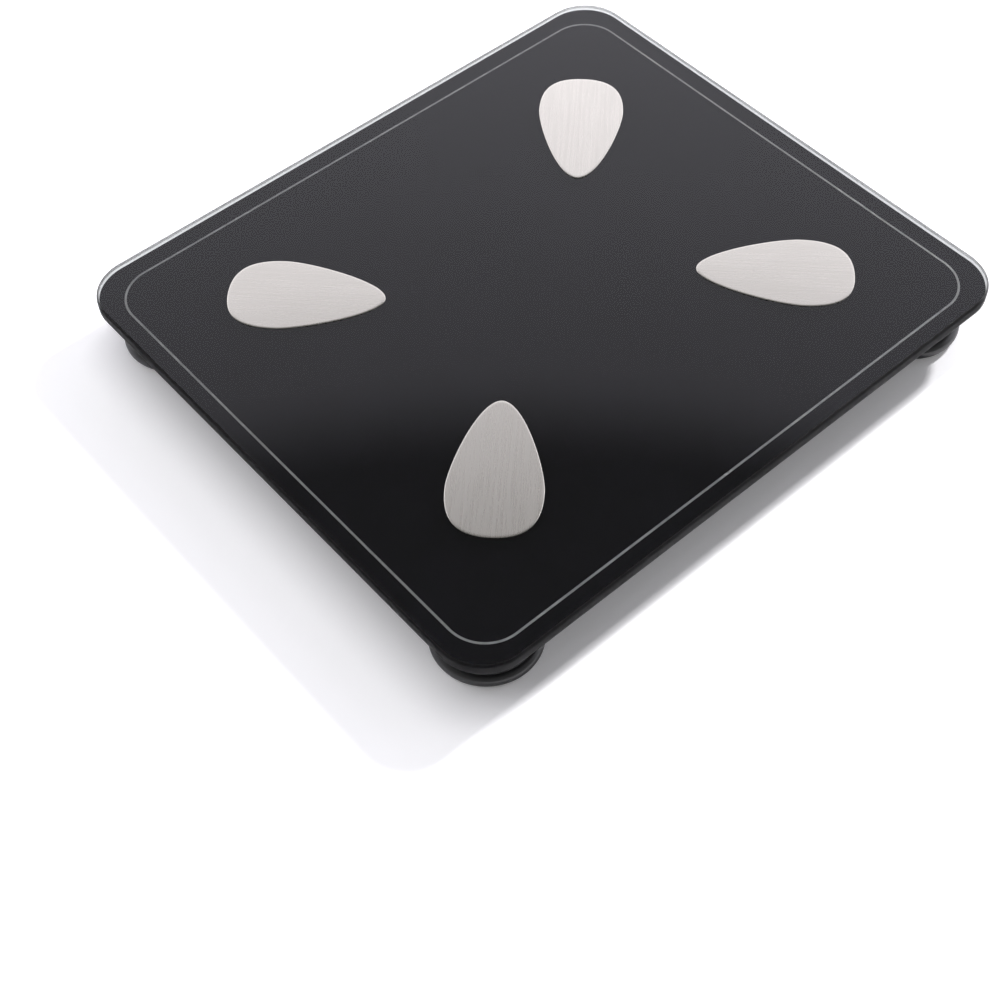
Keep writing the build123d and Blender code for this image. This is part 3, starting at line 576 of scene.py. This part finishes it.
class SCALE_OT_print(bpy.types.Operator):
    """Builds the black print and the silver border line in contact with the glass"""

    bl_idname = "scale.print"
    bl_label = "Print and Border Line"

    def execute(self, context):
        sizes = context.scene.scale_sizes
        colours = context.scene.scale_colours
        length, width = (FILM_HIGH - FILM_LOW)[:2]
        radius = sizes.corner_radius - (FILM_LOW[0] - GLASS_LOW[0])
        top = FILM_HIGH[2] + sizes.print_cover
        profile = [(0.0, FILM_LOW[2]), (0.0, FILM_HIGH[2]), (sizes.print_cover, top)]
        black = mesh_from_rings("black_print", plate_rings(length, width, radius, profile))
        keep_edges(black, 30)
        enamel = mottled(
            "Black Enamel",
            shade(colours.black_print, 1.15),
            shade(colours.black_print, 0.85),
            (0.30, 0.36),
            scale=35.0,
            Specular_IOR_Level=0.0,
        )
        settle(black, enamel, "platform", "black_film")

        length, width = (BORDER_HIGH - BORDER_LOW)[:2]
        foot = BORDER_HIGH[2]
        top += sizes.line_cover
        inner = sizes.line_width
        profile = [(0.0, foot), (0.0, top), (inner, top), (inner, foot), (0.0, foot)]
        rings = plate_rings(length, width, sizes.line_radius, profile)
        line = mesh_from_rings("silver_line", rings, closed=False)
        keep_edges(line, 30)
        ink = mottled(
            "Silver Ink",
            shade(colours.silver_print, 1.1),
            shade(colours.silver_print, 0.9),
            (0.45, 0.55),
            scale=400.0,
            Metallic=0.6,
            Specular_IOR_Level=0.0,
        )
        settle(line, ink, "platform", "border_line")
        return {"FINISHED"}


class SCALE_OT_electrodes(bpy.types.Operator):
    """Builds the four teardrop electrodes with rolled rims, a slight crown and their studs"""

    bl_idname = "scale.electrodes"
    bl_label = "Electrodes"

    def execute(self, context):
        sizes = context.scene.scale_sizes
        steel = self.steel(context.scene.scale_colours.steel)
        outline = teardrop(sizes.electrode_length, sizes.electrode_width, sizes.electrode_tip)
        centre = np.array([STUD_SHARE * sizes.electrode_length, 0.0])
        for corner in CORNERS:
            name = f"electrode_{corner}"
            low, high = np.array(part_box(name))
            middle = (low + high)[:2] / 2
            toward = -np.sign(middle) / sqrt(2)
            across = np.array([-toward[1], toward[0]])
            blunt = self.blunt_end(outline, toward, across, middle)
            flat = self.flat_rings(outline, centre, high[2] - GLASS_HIGH[2], sizes)
            placed = flat.copy()
            placed[..., :2] = blunt + flat[..., :1] * toward + flat[..., 1:2] * across
            placed[..., 2] += GLASS_HIGH[2]
            plate = mesh_from_rings(name + "_plate", placed)
            self.add_stud(plate, blunt + centre[0] * toward, low[2], sizes.stud_radius)
            self.add_lengthwise_map(plate, blunt, toward, across)
            keep_edges(plate, 50)
            settle(plate, steel, "platform", name)
        return {"FINISHED"}

    @staticmethod
    def flat_rings(outline, centre, thickness, sizes):
        """Rings of an electrode that lies along +X with its underside at zero height.

        The rim is a quarter circle in the cross-section. The crown falls off with the square of the share
        of the way from the centre to the rim."""
        rim = sizes.electrode_rim
        shoulder = thickness - rim - sizes.electrode_crown
        rings = [(outline, 0.0), (outline, shoulder)]
        for angle in RIM_TURNS:
            rolled = inset_outline(outline, rim * (1 - np.cos(angle)))
            rings.append((rolled, shoulder + rim * np.sin(angle)))
        for share in CROWN_SHARES:
            crown = sizes.electrode_crown * (1 - share**2)
            rings.append((centre + share * (rolled - centre), shoulder + rim + crown))
        return np.array([np.column_stack([ring, np.full(len(ring), height)]) for ring, height in rings])

    @staticmethod
    def blunt_end(outline, toward, across, middle):
        """Where the blunt end lies, so that the placed outline's box is centred on the node's box."""
        placed = outline[:, :1] * toward + outline[:, 1:] * across
        return middle - (placed.min(axis=0) + placed.max(axis=0)) / 2

    @staticmethod
    def add_stud(plate, spot, bottom, radius):
        """Joins a stud with a small end chamfer to the plate's mesh."""
        profile = [(radius - STUD_CHAMFER, bottom), (radius, bottom + STUD_CHAMFER), (radius, GLASS_HIGH[2])]
        stud = mesh_from_rings("stud", revolve(profile) + (*spot, 0.0))
        with bpy.context.temp_override(active_object=plate, selected_editable_objects=[plate, stud]):
            bpy.ops.object.join()

    @staticmethod
    def add_lengthwise_map(plate, blunt, toward, across):
        """A UV map in metres: U runs from the blunt end to the tip, V across."""
        mesh = plate.data
        points = np.empty(len(mesh.vertices) * 3)
        mesh.vertices.foreach_get("co", points)
        local = points.reshape(-1, 3)[:, :2] - blunt
        corner_vertex = np.empty(len(mesh.loops), dtype=np.int64)
        mesh.loops.foreach_get("vertex_index", corner_vertex)
        pairs = np.stack([local @ toward, local @ across], axis=-1)[corner_vertex]
        mesh.uv_layers.new(name="lengthwise").uv.foreach_set("vector", pairs.ravel())

    @staticmethod
    def steel(base):
        """Satin steel brushed from end to end."""
        material, tree, shader, _ = new_material("Brushed Steel")
        lengthwise = add(tree, "ShaderNodeUVMap", uv_map="lengthwise").outputs[0]
        grain = group(tree, "Brushed Grain", {"Vector": lengthwise})
        drift = group(
            tree,
            "Slow Mottle",
            {
                "Vector": object_coordinates(tree),
                "Scale": 30.0,
                "Colour A": rgba(shade(base, 1.03)),
                "Colour B": rgba(shade(base, 0.97)),
            },
        )
        streak = grain.outputs["Streak"]
        tint = blend(tree, streak, drift.outputs["Colour"], rgba(shade(base, 0.95)))
        rough = ramp(tree, streak, (0.0, 1.0), (0.25, 0.32))
        tree.links.new(tint, shader.inputs["Base Color"])
        tree.links.new(rough, shader.inputs["Roughness"])
        shader.inputs["Metallic"].default_value = 1.0
        bump(tree, shader, grain.outputs["Height"], 0.004 * MM)
        return material


class SCALE_OT_housing(bpy.types.Operator):
    """Finishes the moulded base, the battery door and the button"""

    bl_idname = "scale.housing"
    bl_label = "Base Housing"

    def execute(self, context):
        base = context.scene.scale_colours.plastic
        housing = mottled(
            "Housing Plastic",
            shade(base, 1.1),
            shade(base, 0.9),
            (0.42, 0.50),
            grain=0.02 * MM,
            grain_scale=2200.0,
        )
        finish(["base_housing", "battery_door"], housing)
        button = mottled(
            "Button Plastic", (0.17, 0.17, 0.18), (0.15, 0.15, 0.16), (0.40, 0.48), grain=0.01 * MM
        )
        finish(["unit_button"], button)
        glue = mottled("Silicone Glue", (0.58, 0.58, 0.55), (0.50, 0.50, 0.47), (0.35, 0.50), scale=150.0)
        finish(["glue_bead"], glue)
        return {"FINISHED"}


class SCALE_OT_feet(bpy.types.Operator):
    """Finishes the feet and their rubber pads"""

    bl_idname = "scale.feet"
    bl_label = "Feet"

    def execute(self, context):
        colours = context.scene.scale_colours
        satin = mottled(
            "Foot Plastic",
            shade(colours.foot, 1.1),
            shade(colours.foot, 0.9),
            (0.30, 0.37),
            grain=0.004 * MM,
            Specular_IOR_Level=0.7,
        )
        finish([f"foot_{corner}" for corner in CORNERS], satin)
        rubber = mottled(
            "Pad Rubber",
            shade(colours.rubber, 1.2),
            shade(colours.rubber, 0.8),
            (0.72, 0.85),
            scale=120.0,
            grain=0.03 * MM,
        )
        finish([f"foot_pad_{corner}" for corner in CORNERS], rubber)
        return {"FINISHED"}


class SCALE_OT_cells(bpy.types.Operator):
    """Finishes the load cells, their holders and the sealed gauges"""

    bl_idname = "scale.cells"
    bl_label = "Load Cells"

    def execute(self, context):
        nickel = mottled(
            "Nickelled Steel", (0.60, 0.60, 0.62), (0.52, 0.52, 0.55), (0.25, 0.38), Metallic=1.0
        )
        finish([f"load_cell_{corner}" for corner in CORNERS], nickel)
        holder = mottled(
            "Holder Plastic", (0.66, 0.66, 0.64), (0.60, 0.60, 0.58), (0.45, 0.55), grain=0.01 * MM
        )
        finish([f"cell_holder_{corner}" for corner in CORNERS], holder)
        sealant = mottled(
            "Gauge Sealant", (0.86, 0.86, 0.83), (0.78, 0.78, 0.75), (0.30, 0.45), scale=300.0
        )
        finish(["gauge_patches"], sealant)
        return {"FINISHED"}


class SCALE_OT_electronics(bpy.types.Operator):
    """Finishes the board, the display, the plug headers and the fixings"""

    bl_idname = "scale.electronics"
    bl_label = "Electronics"

    def execute(self, context):
        finish(["main_board"], self.solder_mask(context.scene.scale_colours.board))
        epoxy = mottled(
            "Chip Epoxy", (0.030, 0.030, 0.031), (0.022, 0.022, 0.023), (0.50, 0.60), grain=0.01 * MM
        )
        finish(["control_chip", "unit_switch"], epoxy)
        header = mottled("Header Plastic", (0.80, 0.79, 0.74), (0.75, 0.74, 0.68), (0.35, 0.45))
        finish(["lead_headers"], header)
        face = mottled("Display Face", (0.10, 0.10, 0.11), (0.08, 0.08, 0.09), (0.25, 0.32))
        finish(["display_module"], face)
        foam = mottled(
            "Gasket Foam",
            (0.06, 0.06, 0.06),
            (0.03, 0.03, 0.03),
            (0.85, 0.95),
            grain=0.08 * MM,
            grain_scale=900.0,
        )
        finish(["display_gasket"], foam)
        zinc = mottled(
            "Zinc Plate", (0.72, 0.72, 0.74), (0.62, 0.62, 0.66), (0.22, 0.35), scale=500.0, Metallic=1.0
        )
        finish(["board_screws", "electrode_nuts", "electrode_terminals"], zinc)
        return {"FINISHED"}

    @staticmethod
    def solder_mask(green):
        """Green solder mask over copper tracks, which show through as lighter lines."""
        material, tree, shader, _ = new_material("Solder Mask")
        spot = object_coordinates(tree)
        tracks = add(
            tree,
            "ShaderNodeTexBrick",
            {
                "Vector": spot,
                "Color1": rgba(green),
                "Color2": rgba(shade(green, 0.85)),
                "Mortar": rgba(shade(green, 1.9)),
                "Scale": 160.0,
                "Mortar Size": 0.03,
            },
        )
        tree.links.new(tracks.outputs["Color"], shader.inputs["Base Color"])
        gloss = {"Vector": spot, "Scale": 200.0, "Roughness A": 0.2, "Roughness B": 0.3}
        drift = group(tree, "Slow Mottle", gloss)
        tree.links.new(drift.outputs["Roughness"], shader.inputs["Roughness"])
        bump(tree, shader, tracks.outputs["Fac"], 0.02 * MM)
        return material


class SCALE_OT_power(bpy.types.Operator):
    """Finishes the battery cells, their contacts and the leads"""

    bl_idname = "scale.power"
    bl_label = "Batteries and Leads"

    def execute(self, context):
        sleeve = mottled(
            "Battery Sleeve", (0.10, 0.20, 0.30), (0.08, 0.17, 0.26), (0.22, 0.30), scale=90.0, Metallic=0.5
        )
        finish(["battery_1", "battery_2", "battery_3"], sleeve)
        contact = mottled(
            "Contact Strip", (0.74, 0.73, 0.71), (0.66, 0.65, 0.63), (0.20, 0.32), Metallic=1.0
        )
        finish(["contact_springs", "contact_plates"], contact)
        for node, name, light, dark in (
            ("battery_leads", "Red Insulation", (0.34, 0.03, 0.03), (0.28, 0.02, 0.02)),
            ("load_cell_leads", "White Insulation", (0.70, 0.70, 0.68), (0.62, 0.62, 0.60)),
            ("electrode_leads", "Black Insulation", (0.03, 0.03, 0.03), (0.02, 0.02, 0.02)),
        ):
            finish([node], mottled(name, light, dark, (0.35, 0.45), scale=200.0))
        return {"FINISHED"}


class SCALE_OT_stage(bpy.types.Operator):
    """Builds the floor, the lamps, the room and the camera"""

    bl_idname = "scale.stage"
    bl_label = "Stage"

    def execute(self, context):
        studio = context.scene.scale_studio
        self.floor(studio, context.scene.scale_colours)
        key = self.lamp("key_lamp", studio.key, studio.key_length, studio.key_width)
        key.location = studio.key_place
        side = self.lamp("side_lamp", studio.side, studio.side_width, studio.side_width)
        side.location = studio.side_place
        side.rotation_euler = side.location.to_track_quat("Z", "Y").to_euler()
        self.room(context, studio)
        self.camera(context, studio)
        context.scene.view_settings.view_transform = "Standard"
        return {"FINISHED"}

    @staticmethod
    def floor(studio, colours):
        """A wide pale floor that keeps the shadow, turns plain white further out, and is clear from
        below."""
        corners = np.array([(-1, -1), (1, -1), (1, 1), (-1, 1)]) * FLOOR_REACH
        mesh = bpy.data.meshes.new("floor")
        mesh.from_pydata([(x, y, 0.0) for x, y in corners.tolist()], [], [(0, 1, 2, 3)])
        plane = link("floor", mesh)
        material, tree, shader, surface = new_material("Pale Floor")
        path = tree.nodes.new("ShaderNodeLightPath").outputs
        direct = path["Is Camera Ray"]
        seen = combine(tree, "MAXIMUM", direct, path["Is Glossy Ray"])
        seen = combine(tree, "MAXIMUM", seen, path["Is Transmission Ray"])
        paint = blend(tree, seen, rgba(colours.floor), rgba(colours.floor_seen))
        tree.links.new(paint, shader.inputs["Base Color"])
        shader.inputs["Roughness"].default_value = 1.0
        shader.inputs["Specular IOR Level"].default_value = 0.0
        geometry = tree.nodes.new("ShaderNodeNewGeometry").outputs
        distance = add(tree, "ShaderNodeVectorMath", {0: geometry["Position"]}, operation="LENGTH")
        limits = (studio.fade_start, studio.fade_end)
        glow = ramp(tree, distance.outputs["Value"], limits, (studio.floor_lift, 1.0))
        tree.links.new(combine(tree, "MULTIPLY", direct, glow), shader.inputs["Emission Strength"])
        clear = tree.nodes.new("ShaderNodeBsdfTransparent").outputs[0]
        faces = {0: geometry["Backfacing"], 1: shader.outputs[0], 2: clear}
        two_sided = add(tree, "ShaderNodeMixShader", faces)
        tree.links.new(two_sided.outputs[0], surface.inputs["Surface"])
        mesh.materials.append(material)

    @staticmethod
    def lamp(name, power, length, width):
        """A flat lamp that shines along its own -Z, with its length along X, and is not mirrored."""
        data = bpy.data.lights.new(name, "AREA")
        data.energy = power
        data.shape = "RECTANGLE"
        data.size = length
        data.size_y = width
        piece = bpy.data.objects.new(name, data)
        piece.visible_glossy = False
        bpy.context.scene.collection.objects.link(piece)
        return piece

    @staticmethod
    def room(context, studio):
        """A room that is pale low down behind the object and dark overhead, and white to the camera."""
        world = bpy.data.worlds.new("Room")
        world.use_nodes = True
        tree = world.node_tree
        tree.nodes.clear()
        direction = tree.nodes.new("ShaderNodeTexCoord").outputs["Generated"]
        height = add(tree, "ShaderNodeSeparateXYZ", {0: direction}).outputs["Z"]
        facing = add(
            tree, "ShaderNodeVectorMath", {0: direction, 1: WALL_DIRECTION}, operation="DOT_PRODUCT"
        ).outputs["Value"]
        radiance = ramp(tree, height, WALL_HEIGHTS, (studio.backdrop_low, studio.backdrop_high))
        backdrop = add(
            tree, "ShaderNodeVectorMath", {0: WALL_TINT, "Scale": radiance}, operation="SCALE"
        ).outputs[0]
        behind = ramp(tree, facing, WALL_SIDES, shape="SMOOTHSTEP")
        wall = blend(tree, behind, grey(studio.front), backdrop)
        overhead = ramp(tree, height, CEILING_HEIGHTS, shape="SMOOTHSTEP")
        room = blend(tree, overhead, wall, grey(studio.ceiling))
        path = tree.nodes.new("ShaderNodeLightPath").outputs
        shown = blend(tree, path["Is Camera Ray"], room, WHITE)
        background = add(tree, "ShaderNodeBackground", {"Color": shown})
        surface = tree.nodes.new("ShaderNodeOutputWorld")
        tree.links.new(background.outputs[0], surface.inputs["Surface"])
        context.scene.world = world

    @staticmethod
    def camera(context, studio):
        """The camera over the front left corner."""
        data = bpy.data.cameras.new("camera")
        data.sensor_width = SENSOR_WIDTH
        data.lens = studio.lens
        data.clip_end = CLIP_END
        camera = bpy.data.objects.new("camera", data)
        camera.location = studio.camera_place
        camera.rotation_euler = studio.camera_turn
        context.scene.collection.objects.link(camera)
        context.scene.camera = camera


class SCALE_PT_panel(bpy.types.Panel):
    """Lists the steps that build the scale"""

    bl_label = "Bathroom Scale"
    bl_space_type = "VIEW_3D"
    bl_region_type = "UI"
    bl_category = "Scale"

    def draw(self, context):
        for step in STEPS:
            self.layout.operator(step.bl_idname)
        for settings in (context.scene.scale_sizes, context.scene.scale_colours, context.scene.scale_studio):
            box = self.layout.box()
            for name in settings.__annotations__:
                box.prop(settings, name)


# ---------------------------------------------------------------- registration and run
SETTINGS = (ScaleSizes, ScaleColours, ScaleStudio)
STEPS = (
    SCALE_OT_stage,
    SCALE_OT_glass,
    SCALE_OT_print,
    SCALE_OT_electrodes,
    SCALE_OT_housing,
    SCALE_OT_feet,
    SCALE_OT_cells,
    SCALE_OT_electronics,
    SCALE_OT_power,
)


def register():
    """Registers the settings, the operators and the panel."""
    for cls in (*SETTINGS, *STEPS, SCALE_PT_panel):
        bpy.utils.register_class(cls)
    bpy.types.Scene.scale_sizes = bpy.props.PointerProperty(type=ScaleSizes)
    bpy.types.Scene.scale_colours = bpy.props.PointerProperty(type=ScaleColours)
    bpy.types.Scene.scale_studio = bpy.props.PointerProperty(type=ScaleStudio)


def unregister():
    """Takes them off again."""
    del bpy.types.Scene.scale_studio
    del bpy.types.Scene.scale_colours
    del bpy.types.Scene.scale_sizes
    for cls in (SCALE_PT_panel, *STEPS[::-1], *SETTINGS[::-1]):
        bpy.utils.unregister_class(cls)


def main():
    """Builds every piece in order."""
    register()
    for step in STEPS:
        family, name = step.bl_idname.split(".")
        getattr(getattr(bpy.ops, family), name)()


if __name__ == "__main__":
    main()
